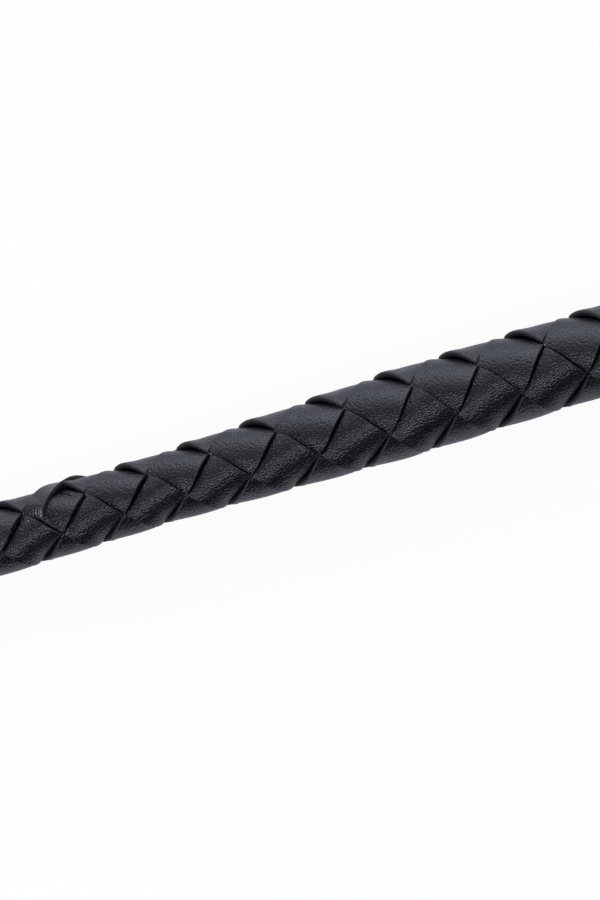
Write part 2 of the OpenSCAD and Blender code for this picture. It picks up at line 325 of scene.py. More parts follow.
def plait_rows():
    """Places of the rows of crossings, from the front: each step is the row height at the row before.

    The row height goes evenly from the neck's to the grip's, and opens by a parabola along the taper.
    """
    rows = [FRONT_X + PLAIT_TUCK]
    while rows[-1] <= BUTT_X - PLAIT_TUCK:
        share = float(taper_share(rows[-1]))
        open_up = TAPER_OPEN * 4 * share * (1 - share)
        rows.append(rows[-1] + NECK_ROW + (GRIP_ROW - NECK_ROW) * share + open_up)
    return np.array(rows[:-1])


ROWS = plait_rows()
LAST_ROW = len(ROWS) - 1


def row_x(row):
    """Place along the crop of a row number, straight between rows and beyond the ends."""
    ends = np.concatenate([[2 * ROWS[0] - ROWS[1]], ROWS, [2 * ROWS[-1] - ROWS[-2]]])
    return np.interp(row, np.arange(-1, LAST_ROW + 2), ends)


def lace_depth(from_over, end, tuck):
    """How far a lace's top lies below the handle's radius, by the distance from an over crossing's middle.

    Up to its end a crossing is a pillow that falls with the square of the distance, and at last by a high
    power. Past the end the lace lies its own thickness and a tuck below, so that the other lace's cut edge
    stands clear.
    """
    reach = np.clip(from_over / end, 0, 1)
    pillow = PILLOW_SHARE * reach ** 2 + (1 - PILLOW_SHARE) * reach ** TURN_DOWN_POWER
    return LACE_T * pillow + tuck * smooth_step((from_over - end + TUCK_LEAD) / TUCK_RUN)


def strip_outline(corner_count=5, top_count=15, base_count=7):
    """Outline of a flat strip, once round: the upper face from + to -, and the lower face back again.

    flat is the share of the half width between the rounded upper edges, and corner the share of an edge's
    radius beyond them. is_top parts the upper face and its quarter-round edges from the lower face.
    """
    bend = np.cos(np.linspace(0, QUARTER, corner_count))
    top = np.linspace(1, -1, top_count)[1:-1]
    base = np.linspace(-1, 1, base_count)
    edge = np.ones(corner_count)
    flat = np.concatenate([edge, top, -edge, base])
    corner = np.concatenate([bend, 0 * top, bend[::-1], np.abs(base) == 1])
    is_top = np.arange(len(flat)) < len(flat) - base_count
    return flat[None, :], corner[None, :], is_top[None, :]


def lace_strip(hand, number, along, low, high, drop):
    """A flat strip with cut edges, laid on the lattice of the plait.

    along is counted in crossings, and low to high in lace spacings, both on the lace's own line. drop is how
    far the top lies below the handle's radius: one column for the whole width. Across it the strip is cupped
    with the square of the share. A left lace also curls up along one edge, and is pressed down at the other
    where it comes out from under.
    """
    flat, corner, is_top = strip_outline()
    half = (high - low) / 2
    edge_share = LACE_EDGE_R / (half * LACE_SPACING)
    share = flat * (1 - edge_share) + np.sign(flat) * corner * edge_share
    side = (high + low) / 2 + half * share
    along = along + 0 * side
    if hand > 0:
        right = number + side
        left = number + along
    else:
        right = number - along
        left = number + side
    x = row_x(left - right)
    turn = PLAIT_TURN + ROW_TURN * (right + left)
    cup = LACE_CUP * (share ** 2 - 0.5)
    if hand < 0:
        rising = np.clip(np.sin(math.pi * along), 0, 1) ** 2
        cup = cup + LEFT_CURL * smooth_step((-share - LEFT_CURL_FROM) / (1 - LEFT_CURL_FROM))
        cup = cup - LEFT_CORNER_PRESS * smooth_step(share) * rising
    edge_fall = LACE_EDGE_R * (1 - np.sqrt(np.clip(1 - corner ** 2, 0, 1)))
    r = plait_radius(x) - drop + cup - np.where(is_top, edge_fall, LACE_T)
    cut_edge = np.where(is_top, smooth_step((corner - CUT_FROM) / (1 - CUT_FROM)), 1.0)
    # edge_depth runs from 0 on the upper face to 1 on the lower, and leads the painted shade at the foot of
    # the cut walls
    edge_depth = np.where(is_top, 0.0, 1.0)
    return round_axis(x, r, turn), {"cut_edge": cut_edge + 0 * side, "edge_depth": edge_depth + 0 * side}


def lace_surface(hand, number, sunk_at=None):
    """One lace from end to end: it passes over every second crossing.

    from_over runs from -1 to 1 about the middle of each over crossing. A right lace sinks a little more
    towards a crossing's end, and under the splice at sunk_at. Each lace sways and swells in slow sine waves
    of its own.
    """
    along = np.linspace(-0.5, LAST_ROW + 0.5, LACE_STEPS * (LAST_ROW + 1) + 1)[:, None]
    first_over = 0 if hand > 0 else 1
    from_over = (along - first_over + 1) % 2 - 1
    if hand > 0:
        drop = lace_depth(np.abs(from_over), RIGHT_OVER, RIGHT_TUCK)
        drop = drop + RIGHT_END_SINK * np.clip(np.sin(math.pi * from_over), 0, 1) ** 2
    else:
        end = np.where(from_over < 0, LEFT_OVER_RISING, LEFT_OVER_FALLING)
        drop = lace_depth(np.abs(from_over), end, LEFT_TUCK)
    if sunk_at is not None:
        covered = 1 - smooth_step((np.abs(along - sunk_at) - SPLICE_COVERS) / SPLICE_EASE)
        drop = drop + SPLICE_SINK * covered
    sway = LACE_SWAY * np.sin(1.3 * along + 2.2 * number + hand)
    sway = sway + LACE_FINE_SWAY * np.sin(2.9 * along + number)
    swell = 1 + LACE_SWELL * np.sin(0.83 * along + 1.7 * number - hand)
    half = (0.5 - LACE_GAP_SHARE / 2) * swell
    return lace_strip(hand, number, along, sway - half, sway + half, drop)


def splice_surface(number, row):
    """The tail of a lace where a new one was let in: it lies on the new lace, then sinks behind the handle.

    Places are crossings from the row. The tail's free edge comes in as an exponential of the way along. Its
    top climbs in two smooth steps, out of the plait and onto the new lace, and sinks in a third at the end.
    """
    along = np.linspace(-0.7, 2.1, 130)[:, None]
    free_edge = np.maximum(0.13 - 0.17 * np.exp(-(along + 0.5) / 0.15), -0.3)
    tied_edge = 0.49 + 0 * along
    climb = 2.05 * smooth_step((along + 0.8) / 0.6) + 0.3 * smooth_step((along - 0.4) / 0.6)
    sink = 1.6 + 1.0 * smooth_step((along - 1.3) / 0.8)
    return lace_strip(1, number, row + along, free_edge, tied_edge, (sink - climb) * MM)


def make_laces(finish):
    """Six laces, three wound each way, and the splice on one right-hand lace, as on the real handle."""
    surfaces = {}
    for number in range(LACES_EACH_WAY):
        sunk_at = SPLICE_ROW if number == SPLICED_LACE else None
        surfaces[f"right_lace_{number + 1}"] = lace_surface(1, number, sunk_at)
        surfaces[f"left_lace_{number + 1}"] = lace_surface(-1, number)
    for node, (points, marks) in surfaces.items():
        piece = mesh_object(f"plait_{node}", grid_part(points, marks=marks))
        dress(piece, "crop", "plait_leather", finish, node)
    points, marks = splice_surface(SPLICED_LACE, SPLICE_ROW)
    piece = mesh_object("plait_splice", grid_part(points, marks=marks))
    dress(piece, "crop", "plait_leather", finish)


# Threads on the shaft

def wound_thread(x_low, x_high, r_low, r_high):
    """Thread wound close on a cone: across each turn it falls from its crest nearly as a half round does."""
    rows = int(round((x_high - x_low) / THREAD_PITCH)) * ROWS_PER_STRAND
    x = np.linspace(x_low, x_high, rows)[:, None]
    turn = ring_turns(48)
    off_crest = np.abs((x / THREAD_PITCH - turn / TAU) % 1 - 0.5) * 2
    cone = r_low + (r_high - r_low) * (x - x_low) / (x_high - x_low)
    sunk = THREAD_DEPTH * (1 - np.sqrt(1 - THREAD_ROUND * off_crest ** 2))
    return round_axis(x, cone - sunk, turn)


def woven_sleeve(x_low, x_even, x_high, r_tip, r_even):
    """Braided thread on the tapered rod: two families of strands on opposite slants, over one and under one.

    u and v count strands of the two families. In every second cell of the u, v lattice one family lies on
    top: its strand falls with the fourth power across itself and with the square along itself.
    """
    rows = int((x_high - x_low) / BRAID_CELL * ROWS_PER_STRAND)
    x = np.linspace(x_low, x_high, rows)[:, None]
    turn = ring_turns(64)
    u = BRAID_STRANDS * turn / TAU + x / BRAID_CELL
    v = BRAID_STRANDS * turn / TAU - x / BRAID_CELL
    u_on_top = (np.floor(u) + np.floor(v)) % 2 == 0
    off_u = np.abs(u % 1 - 0.5) * 2
    off_v = np.abs(v % 1 - 0.5) * 2
    across = np.where(u_on_top, off_u, off_v)
    along = np.where(u_on_top, off_v, off_u)
    sunk = BRAID_ROUND * across ** 4 + BRAID_ARCH * along ** 2
    cone = r_tip + (r_even - r_tip) * np.clip((x - x_low) / (x_even - x_low), 0, 1)
    return round_axis(x, cone - sunk, turn)


def make_shaft(braid, finish):
    """The braided cover of the rod, the whipping in front of the handle and the binding at the tip."""
    low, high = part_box("shaft_cover")
    sleeve = grid_part(woven_sleeve(low.x, high.x - COVER_EVEN_LEN, high.x, COVER_TIP_R, COVER_R))
    dress(mesh_object("braided_cover", sleeve), "crop", "black_thread", braid, "shaft_cover")
    for name, node in (("whipping_thread", "front_whipping"), ("binding_thread", "tip_binding")):
        low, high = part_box(node)
        outer = (high.y - low.y) / 2
        front = WHIP_FRONT_R if node == "front_whipping" else outer
        wound = grid_part(wound_thread(low.x, high.x, front, outer))
        dress(mesh_object(name, wound), "crop", "black_thread", finish, node)


# Covering knots

def knot_fall(off_middle, fall_front, fall_butt):
    """How far a knot's ends dip towards the handle: none over the middle, then a smooth step to each end."""
    fall = np.where(off_middle < 0, fall_front, fall_butt)
    return fall * smooth_step((np.abs(off_middle) - KNOT_EVEN) / KNOT_SLOPE)


def knot_surface(x_middle, fall_front, fall_butt):
    """A covering knot of three leads and seven bights, worked in a doubled lace.

    With w = bights / leads * turn, the lace runs at x = reach * cos(w) and rises and falls with sin(2 w),
    sharpened by a tanh, so that it passes over and under by turns. Its width is set off square to its line
    on the unrolled barrel.
    """
    middle_r = (KNOT_R + KNOT_INNER_R) / 2
    gear = KNOT_BIGHTS / KNOT_LEADS
    turn = np.linspace(0, TAU * KNOT_LEADS, KNOT_STEPS * KNOT_BIGHTS, endpoint=False)[:, None]
    slope = np.stack([-KNOT_REACH * gear * np.sin(gear * turn), middle_r + 0 * turn], -1)
    slope = slope / np.linalg.norm(slope, axis=-1, keepdims=True)

    top = np.linspace(1, -1, 21)
    strand = np.clip(1 - np.abs(2 * np.abs(top) - 1) ** 4, 0, 1)
    height = KNOT_LACE_T * (1 - KNOT_GROOVE + KNOT_GROOVE * np.sqrt(strand))
    share = np.concatenate([top, [-0.5, 0, 0.5]])[None, :]
    up = np.concatenate([height, [0, 0, 0]])[None, :]

    weave = np.tanh(KNOT_SNAP * np.sin(2 * gear * turn)) / math.tanh(KNOT_SNAP)
    x = x_middle + KNOT_REACH * np.cos(gear * turn) - share * KNOT_LACE_HALF * slope[..., 1]
    swing = turn + share * KNOT_LACE_HALF * slope[..., 0] / middle_r
    base = KNOT_INNER_R + (KNOT_R - KNOT_INNER_R - KNOT_LACE_T) * (weave + 1) / 2
    base = base - knot_fall(x - x_middle, fall_front, fall_butt)
    cut_edge = np.where(np.abs(share) > 0.97, 0.7, 0.0) + 0 * turn
    return round_axis(x, base + up, swing), {"cut_edge": cut_edge}


def make_knots(finish):
    """The two covering knots, each for its barrel in the part, and the rounded pad under the front one."""
    front_dips = (KNOT_DIP, FRONT_KNOT_BUTT_DIP)
    for name, node, dips in (
        ("butt_turks_head", "butt_knot", (0.0, KNOT_DIP)),
        ("front_turks_head", "front_knot", front_dips),
    ):
        low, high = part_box(node)
        points, marks = knot_surface((low.x + high.x) / 2, *dips)
        piece = mesh_object(name, grid_part(points, close_rows=True, marks=marks))
        dress(piece, "crop", "plait_leather", finish, node)
    low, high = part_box("front_foundation")
    x = np.linspace(low.x, high.x, 25)
    r = PAD_R - knot_fall(x - (low.x + high.x) / 2, *front_dips)
    x = np.concatenate([x, [high.x, low.x]])[:, None]
    r = np.concatenate([r, [PAD_BORE_R, PAD_BORE_R]])[:, None]
    pad = mesh_object("rounded_pad", grid_part(round_axis(x, r, ring_turns(72)), close_rows=True))
    dress(pad, "crop", "plait_leather", finish, "front_foundation")


# Butt cap, pin and rivet

def dome_surface():
    """The cap's disc: an eased straight rim, then r falls as a cosine's root while x rises as its sine."""
    swell = np.linspace(0, 1.53, 22)
    rim_x = np.array([0.1, 0.2, 0.5]) * MM
    rim_r = CAP_R - np.array([0.4, 0.15, 0.0]) * MM
    x = np.concatenate([rim_x, CAP_RIM_T + (CAP_T - CAP_RIM_T) * np.sin(swell)])
    r = np.concatenate([rim_r, CAP_R * np.sqrt(np.cos(swell))])
    return round_axis(BUTT_X + x[:, None], r[:, None], ring_turns(96))


def ear_surface(z_low):
    """An ear of the cap: a round-ended plate, shrunk about its middle by quarter rounds at both faces."""
    end = arc(PIN_X, 0, EYE_R, np.linspace(-QUARTER, QUARTER, 25))
    root = BUTT_X + CAP_T / 2
    outline = np.concatenate([end, [[root, EYE_R], [root, -EYE_R]]])
    lean = np.linspace(0, QUARTER, 5)
    inset = EAR_EDGE_R * (1 - np.sin(lean))
    rise = EAR_EDGE_R * (1 - np.cos(lean))
    inset = np.concatenate([inset, inset[::-1]])
    z = z_low + np.concatenate([rise, EAR_T - rise[::-1]])
    middle = np.array([(root + PIN_X) / 2, 0])
    shrink = 1 - inset[:, None, None] / EYE_R
    flat = middle + (outline - middle)[None, :, :] * shrink
    return np.concatenate([flat, np.broadcast_to(z[:, None, None], flat.shape[:2] + (1,))], -1)


def headed_pin(centre, axis, half_grip, shank_r, head_r, head_t):
    """A pin with two domed heads, turned about an axis through its centre.

    A head's radius goes with the sine of an angle, and its height with the cosine above a low rim.
    """
    lean = np.linspace(0.06, QUARTER, 9)
    along = half_grip + head_t * np.concatenate([HEAD_RIM + (1 - HEAD_RIM) * np.cos(lean), [0.0, 0.0]])
    along = np.concatenate([along, -along[::-1]])[:, None, None]
    r = np.concatenate([head_r * np.sin(lean), [0.97 * head_r, shank_r]])
    r = np.concatenate([r, r[::-1]])[:, None, None]
    turn = ring_turns(40)[..., None]
    axis = np.array(axis, float)
    first = np.array([1.0, 0, 0])
    second = np.cross(axis, first)
    return np.array(centre) + along * axis + r * (np.cos(turn) * first + np.sin(turn) * second)


def make_butt(lacquer, steel, plate):
    """The cap with its two ears, the loop's pin and the loop's rivet."""
    ears = [grid_part(ear_surface(AXIS_Z + z)) for z in (EAR_Z, -EAR_Z - EAR_T)]
    cap = mesh_object("domed_cap", grid_part(dome_surface()), *ears)
    dress(cap, "crop", "cap_lacquer", lacquer, "butt_cap")
    half_grip = EAR_Z + EAR_T + PIN_FIT
    pin = headed_pin((PIN_X, 0, AXIS_Z), (0, 0, 1), half_grip, PIN_R, PIN_HEAD_R, PIN_HEAD_T)
    dress(mesh_object("domed_pin", grid_part(pin)), "crop", "pin_steel", steel, "loop_pin")
    half_grip = LEG_Y + STRAP_T / 2
    centre = (PIN_X + RIVET_AT, 0, AXIS_Z)
    rivet = headed_pin(centre, (0, 1, 0), half_grip, RIVET_R, RIVET_HEAD_R, RIVET_HEAD_T)
    dress(mesh_object("domed_rivet", grid_part(rivet)), "wrist_loop", "rivet_plate", plate, "loop_rivet")


# Straps of finished leather

def strap_section(half_w, half_t, corner=0.7 * MM, crease_in=1.5 * MM, crease_depth=0.12 * MM):
    """Section of a creased strap with rounded edges: across, up and edge mark, one row per place along it.

    The crease is a bell-shaped dent at a set distance from each edge, on both faces.
    """
    half_w = np.atleast_1d(half_w)[:, None]
    face = np.linspace(1, -1, 33)[None, :]
    bend = np.linspace(QUARTER, 3 * QUARTER, 11)[None, 1:-1]
    flat = face * (half_w - corner)
    dent = crease_depth * np.exp(-((half_w - np.abs(flat) - crease_in) / CREASE_W) ** 2)
    side = -(half_w - corner) + corner * np.cos(bend)
    across = np.concatenate([flat, side, -flat, -side], 1)
    wall = half_t * np.sin(bend) + 0 * side
    up = np.concatenate([half_t - dent, wall, dent - half_t, -wall], 1)
    edge = np.concatenate([0 * face, -np.cos(bend), 0 * face, -np.cos(bend)], 1)
    return across, up, edge + 0 * across


def even_spaced(path, count):
    """A closed path in a plane, walked again in even steps."""
    closed = np.concatenate([path, path[:1]])
    walked = np.concatenate([[0], np.cumsum(np.linalg.norm(np.diff(closed, axis=0), axis=1))])
    stops = np.linspace(0, walked[-1], count, endpoint=False)
    return np.stack([np.interp(stops, walked, closed[:, k]) for k in range(2)], -1)


def closed_normals(path):
    """Unit normals of a closed path in a plane, square to the chord between each point's neighbours."""
    chord = np.roll(path, -1, 0) - np.roll(path, 1, 0)
    chord = chord / np.linalg.norm(chord, axis=1, keepdims=True)
    return np.stack([chord[:, 1], -chord[:, 0]], -1)


def wrist_loop_path():
    """Middle line of the strap: one half and its mirror image, with the pin at the origin.

    It goes round the pin, into the leg by a cubic curve, along it, through the bend where the legs part,
    and round the loop. The bend and the loop are arcs that meet on the line between their centres.
    """
    eye = arc(0, 0, EYE_R - STRAP_T / 2, np.linspace(math.pi, EYE_LEAVE, 24))
    start = eye[-1]
    end = np.array([LEG_START, LEG_Y])
    lead = start + np.array([math.sin(EYE_LEAVE), -math.cos(EYE_LEAVE)]) * EYE_LEAD
    arrive = end - np.array([LEG_LEAD, 0])
    ease = np.linspace(0, 1, 20)[1:-1, None]
    neck = (1 - ease) ** 3 * start + 3 * (1 - ease) ** 2 * ease * lead
    neck = neck + 3 * (1 - ease) * ease ** 2 * arrive + ease ** 3 * end
    loop_x = LEG_LEN + math.sqrt((PART_R + LOOP_R) ** 2 - (PART_R + LEG_Y) ** 2)
    part = math.atan2(loop_x - LEG_LEN, PART_R + LEG_Y)
    bend = arc(LEG_LEN, LEG_Y + PART_R, PART_R, np.linspace(0, part, 30) - QUARTER)
    bow = arc(loop_x, 0, LOOP_R, np.linspace(QUARTER + part, 0, 90)[1:])
    half = np.concatenate([eye, neck, [end], bend, bow])
    return even_spaced(np.concatenate([half, half[-2:0:-1] * [1, -1]]), 460)


def loop_surface():
    """The strap's section carried round the wrist loop's path, its width upright."""
    path = wrist_loop_path()
    out = closed_normals(path)[:, None, :]
    across, up, edge = strap_section(np.full(len(path), STRAP_W / 2), STRAP_T / 2)
    flat = [PIN_X, 0] + path[:, None, :] + up[..., None] * out
    return np.concatenate([flat, AXIS_Z + across[..., None]], -1), {"cut_edge": edge}


def slider_surface():
    """A leather band: a short strap section carried round a rounded rectangle that hugs both legs."""
    low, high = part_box("loop_slider")
    corner_y = (high.y - low.y) / 2 - SLIDER_HALF_T - SLIDER_ROUND_R
    corner_z = (high.z - low.z) / 2 - SLIDER_HALF_T - SLIDER_ROUND_R
    corner = arc(corner_y, corner_z, SLIDER_ROUND_R, np.linspace(0, QUARTER, 9))
    path = np.concatenate([corner, corner[::-1] * [-1, 1], -corner, corner[::-1] * [1, -1]])
    path = even_spaced(path, 120)
    out = closed_normals(path)[:, None, :]
    half_w = np.full(len(path), (high.x - low.x) / 2)
    across, up, edge = strap_section(half_w, SLIDER_HALF_T, crease_in=1.2 * MM)
    flat = path[:, None, :] + up[..., None] * out
    x = (low.x + high.x) / 2 + across
    return np.stack([x, flat[..., 0], AXIS_Z + flat[..., 1]], -1), {"cut_edge": edge}


def make_wrist_loop(finish):
    """The strap on its pin, and the band that slides along its legs."""
    points, marks = loop_surface()
    strap = mesh_object("creased_loop", grid_part(points, close_rows=True, marks=marks))
    dress(strap, "wrist_loop", "strap_leather", finish, "loop_strap")
    points, marks = slider_surface()
    band = mesh_object("sliding_band", grid_part(points, close_rows=True, marks=marks))
    dress(band, "loop_slider", "strap_leather", finish, "loop_slider")


# Keeper

def tongue_half(reach):
    """Half the tongue's width at a distance from the hinge line.

    It flares from the neck in a smooth step, and at the end falls as the root of one less a cube.
    """
    flare = smooth_step(reach / TONGUE_FLARE)
    round_end = np.clip((reach - TONGUE_LEN + TONGUE_W / 2) / (TONGUE_W / 2), 0, 1)
    half = (KEEPER_NECK_W + (TONGUE_W - KEEPER_NECK_W) * flare) / 2
    return half * np.sqrt(1 - TONGUE_ROUND * round_end ** 3)


def keeper_surface():
    """One folded strip: from a tab on the rod to the tip, round the fold, and back to the other tab.

    The middle line runs in the plane y = 0. Across it the strip bends with the curvature k: a point a
    distance v along the section lies at sin(k v) / k to the side and (1 - cos(k v)) / k inwards. k is about
    that of the tab's tube on the rod, and falls to a slight bow where the leather lets go of the rod.
    """
    tab_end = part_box("keeper_tabs")[1].x
    tip = HINGE_X - TONGUE_LEN
    x = np.linspace(tab_end, tip + LEAF_Z + KEEPER_T / 2, 190)
    let_go = smooth_step((HINGE_X + LET_GO_FROM - x) / LET_GO_LEN)
    leaf_z = TAB_R + (LEAF_Z - TAB_R) * let_go
    fold = np.linspace(0, math.pi, 13)[1:-1]
    line_x = np.concatenate([x, x[-1] - LEAF_Z * np.sin(fold), x[::-1]])
    line_z = np.concatenate([leaf_z, LEAF_Z * np.cos(fold), -leaf_z[::-1]])
    curve = (1 - let_go) / TAB_R + KEEPER_BOW
    curve = np.concatenate([curve, np.full(len(fold), curve[-1]), curve[::-1]])[:, None]
    reach = HINGE_X - line_x
    tab_half = TAB_HALF_W + TAB_FLARE * smooth_step(1 + reach / LET_GO_LEN)
    half_w = np.where(reach > 0, tongue_half(reach), tab_half)

    run = np.stack([np.gradient(line_x), np.gradient(line_z)], -1)
    run = run / np.linalg.norm(run, axis=1, keepdims=True)
    out_x = run[:, 1:]
    out_z = -run[:, :1]
    finer = {"corner": 0.6 * MM, "crease_in": 1.3 * MM, "crease_depth": 0.1 * MM}
    across, up, edge = strap_section(half_w, KEEPER_T / 2, **finer)
    lean = curve * across
    out = (np.cos(lean) - 1) / curve + up * np.cos(lean)
    side = np.sin(lean) / curve + up * np.sin(lean)
    points = np.stack([line_x[:, None] + out * out_x, side, AXIS_Z + line_z[:, None] + out * out_z], -1)
    return points, {"cut_edge": edge}


def stitch_surface(reach, side, face):
    """One stitch: a bead of thread that arches out of the leather and dips back at both ends.

    From -0.5 to 0.5 along it, its radius follows an ellipse and its middle falls with the square.
    """
    along = np.linspace(-0.5, 0.5, 8)[:, None]
    here = reach + STITCH_LEN * (along + 0.5)
    r = STITCH_R * np.sqrt(1 - (STITCH_ROUND * along) ** 2)
    turn = ring_turns(8)
    x = HINGE_X - here + 0 * turn
    y = side * (tongue_half(here) - STITCH_INSET + r * np.cos(turn))
    arch = LEAF_Z + KEEPER_T / 2 + STITCH_LIFT - STITCH_DIP * along ** 2
    return np.stack([x, y, AXIS_Z + face * (arch + r * np.sin(turn))], -1)


def make_keeper(leather, thread):
    """The folded keeper and its two rows of stitching on each face."""
    points, marks = keeper_surface()
    tongue = mesh_object("folded_keeper", grid_part(points, marks=marks))
    tongue.data.materials.append(leather)
    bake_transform(tongue)
    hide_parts("keeper_tabs", "keeper_tongue")
    places = [
        (reach, side, face)
        for reach in np.arange(FIRST_STITCH, LAST_STITCH, STITCH_PITCH)
        for side in (-1, 1)
        for face in (-1, 1)
    ]
    stitches = mesh_object("keeper_stitches", *[grid_part(stitch_surface(*place)) for place in places])
    dress(stitches, "keeper", "black_thread", thread, "keeper_stitching")


# Shader helpers

def new_group(name, inputs, outputs):
    """A shader node group with a Vector, named float inputs with their values, and named float outputs."""
    group = bpy.data.node_groups.new(name, "ShaderNodeTree")
    group.interface.new_socket(name="Vector", in_out="INPUT", socket_type="NodeSocketVector")
    for label, value in inputs.items():
        socket = group.interface.new_socket(name=label, in_out="INPUT", socket_type="NodeSocketFloat")
        socket.default_value = value
    for label in outputs:
        group.interface.new_socket(name=label, in_out="OUTPUT", socket_type="NodeSocketFloat")
    return group, group.nodes.new("NodeGroupInput").outputs, group.nodes.new("NodeGroupOutput").inputs


def add(tree, kind, links=None, **settings):
    """A node with its settings, its plain input values and its links."""
    node = tree.nodes.new(kind)
    for key, value in settings.items():
        setattr(node, key, value)
    for socket, source in (links or {}).items():
        if isinstance(source, bpy.types.NodeSocket):
            tree.links.new(source, node.inputs[socket])
        else:
            node.inputs[socket].default_value = source
    return node


def math_node(tree, operation, first, second=None, third=None):
    """The result of one sum on values or sockets."""
    links = {i: v for i, v in enumerate((first, second, third)) if v is not None}
    return add(tree, "ShaderNodeMath", links, operation=operation).outputs[0]


def vector_node(tree, operation, links):
    """The result of one sum on vectors."""
    return add(tree, "ShaderNodeVectorMath", links, operation=operation).outputs[0]


def colour_mix(tree, share, first, second):
    """Two colours mixed by a share: the node's colours are its inputs 6 and 7 and its output 2."""
    return add(tree, "ShaderNodeMix", {0: share, 6: first, 7: second}, data_type="RGBA").outputs[2]


def value_range(tree, value, low, high, to_low=0.0, to_high=1.0):
    """A value moved from one range to another, clamped, with an even S between."""
    links = {"Value": value, "From Min": low, "From Max": high, "To Min": to_low, "To Max": to_high}
    return add(tree, "ShaderNodeMapRange", links, interpolation_type="SMOOTHSTEP").outputs[0]


def noise(tree, place, scale, detail):
    """Outputs of a noise texture."""
    return add(tree, "ShaderNodeTexNoise", {"Vector": place, "Scale": scale, "Detail": detail}).outputs


def place_on(tree):
    """Object coordinates, in metres in the part's frame."""
    return add(tree, "ShaderNodeTexCoord").outputs["Object"]


def mark(tree, name):
    """A named mark of the mesh, from 0 to 1."""
    return add(tree, "ShaderNodeAttribute", attribute_name=name).outputs["Fac"]


def effect(tree, group, **values):
    """Outputs of a shared effect, placed in a material with its own values."""
    return add(tree, "ShaderNodeGroup", {"Vector": place_on(tree), **values}, node_tree=group).outputs


def new_material(name):
    """A material with its node tree and its Principled shader's inputs."""
    material = bpy.data.materials.new(name)
    material.use_nodes = True
    tree = material.node_tree
    return material, tree, tree.nodes["Principled BSDF"].inputs


def join(tree, shader, colour, rough, height, strength, distance):
    """Lead a colour, a roughness and a bump with the given height to the shader."""
    bump = add(tree, "ShaderNodeBump", {"Height": height, "Strength": strength, "Distance": distance})
    tree.links.new(colour, shader["Base Color"])
    tree.links.new(rough, shader["Roughness"])
    tree.links.new(bump.outputs["Normal"], shader["Normal"])


# Shared effects

def leather_grain_group():
    """Pebbled grain: rounded cells parted by fine creases, with a finer wrinkle and a broad unevenness.

    A cell's height falls from its crown with the square of the distance. A noise bends the cells' outlines.
    """
    group, inside, outside = new_group("leather_grain", {"Cells": 2600.0}, ("Height", "Crease", "Mottle"))
    place = inside["Vector"]
    cells = inside["Cells"]
    warp = noise(group, place, math_node(group, "MULTIPLY", cells, 0.45), 1.0)
    pull = vector_node(group, "SCALE", {0: warp["Color"], "Scale": 0.00016})
    bent = vector_node(group, "ADD", {0: place, 1: pull})
    pebble = add(group, "ShaderNodeTexVoronoi", {"Vector": bent, "Scale": cells}, feature="F1")
    from_crown = math_node(group, "MULTIPLY", pebble.outputs["Distance"], 1.6)
    crown = math_node(group, "SUBTRACT", 1.0, math_node(group, "POWER", from_crown, 2.0))
    wrinkle = noise(group, place, math_node(group, "MULTIPLY", cells, 1.9), 2.0)
    height = math_node(group, "ADD", crown, math_node(group, "MULTIPLY", wrinkle["Fac"], 0.3))
    seam = add(group, "ShaderNodeTexVoronoi", {"Vector": bent, "Scale": cells}, feature="DISTANCE_TO_EDGE")
    crease = value_range(group, seam.outputs["Distance"], 0.0, 0.10, 1.0, 0.0)
    group.links.new(height, outside["Height"])
    group.links.new(crease, outside["Crease"])
    group.links.new(noise(group, place, 190.0, 3.0)["Fac"], outside["Mottle"])
    return group


def streak_group():
    """Long fine streaks along X: a noise squeezed along the crop, with a broader one to vary it."""
    group, inside, outside = new_group("fibre_streaks", {"Scale": 1500.0}, ("Streak", "Broad"))
    squeezed = vector_node(group, "MULTIPLY", {0: inside["Vector"], 1: (0.03, 1, 1)})
    group.links.new(noise(group, squeezed, inside["Scale"], 3.0)["Fac"], outside["Streak"])
    group.links.new(noise(group, inside["Vector"], 120.0, 2.0)["Fac"], outside["Broad"])
    return group


def handling_group():
    """Marks of use: broad smudges, and hairline scratches along the crests of a distorted wave."""
    group, inside, outside = new_group("handling_marks", {}, ("Smudge", "Scratch"))
    place = inside["Vector"]
    wave = {"Vector": place, "Scale": 900.0, "Distortion": 14.0, "Detail": 2.0, "Detail Scale": 0.6}
    lines = add(group, "ShaderNodeTexWave", wave)
    group.links.new(noise(group, place, 420.0, 4.0)["Fac"], outside["Smudge"])
    group.links.new(value_range(group, lines.outputs["Fac"], 0.985, 1.0), outside["Scratch"])
    return group


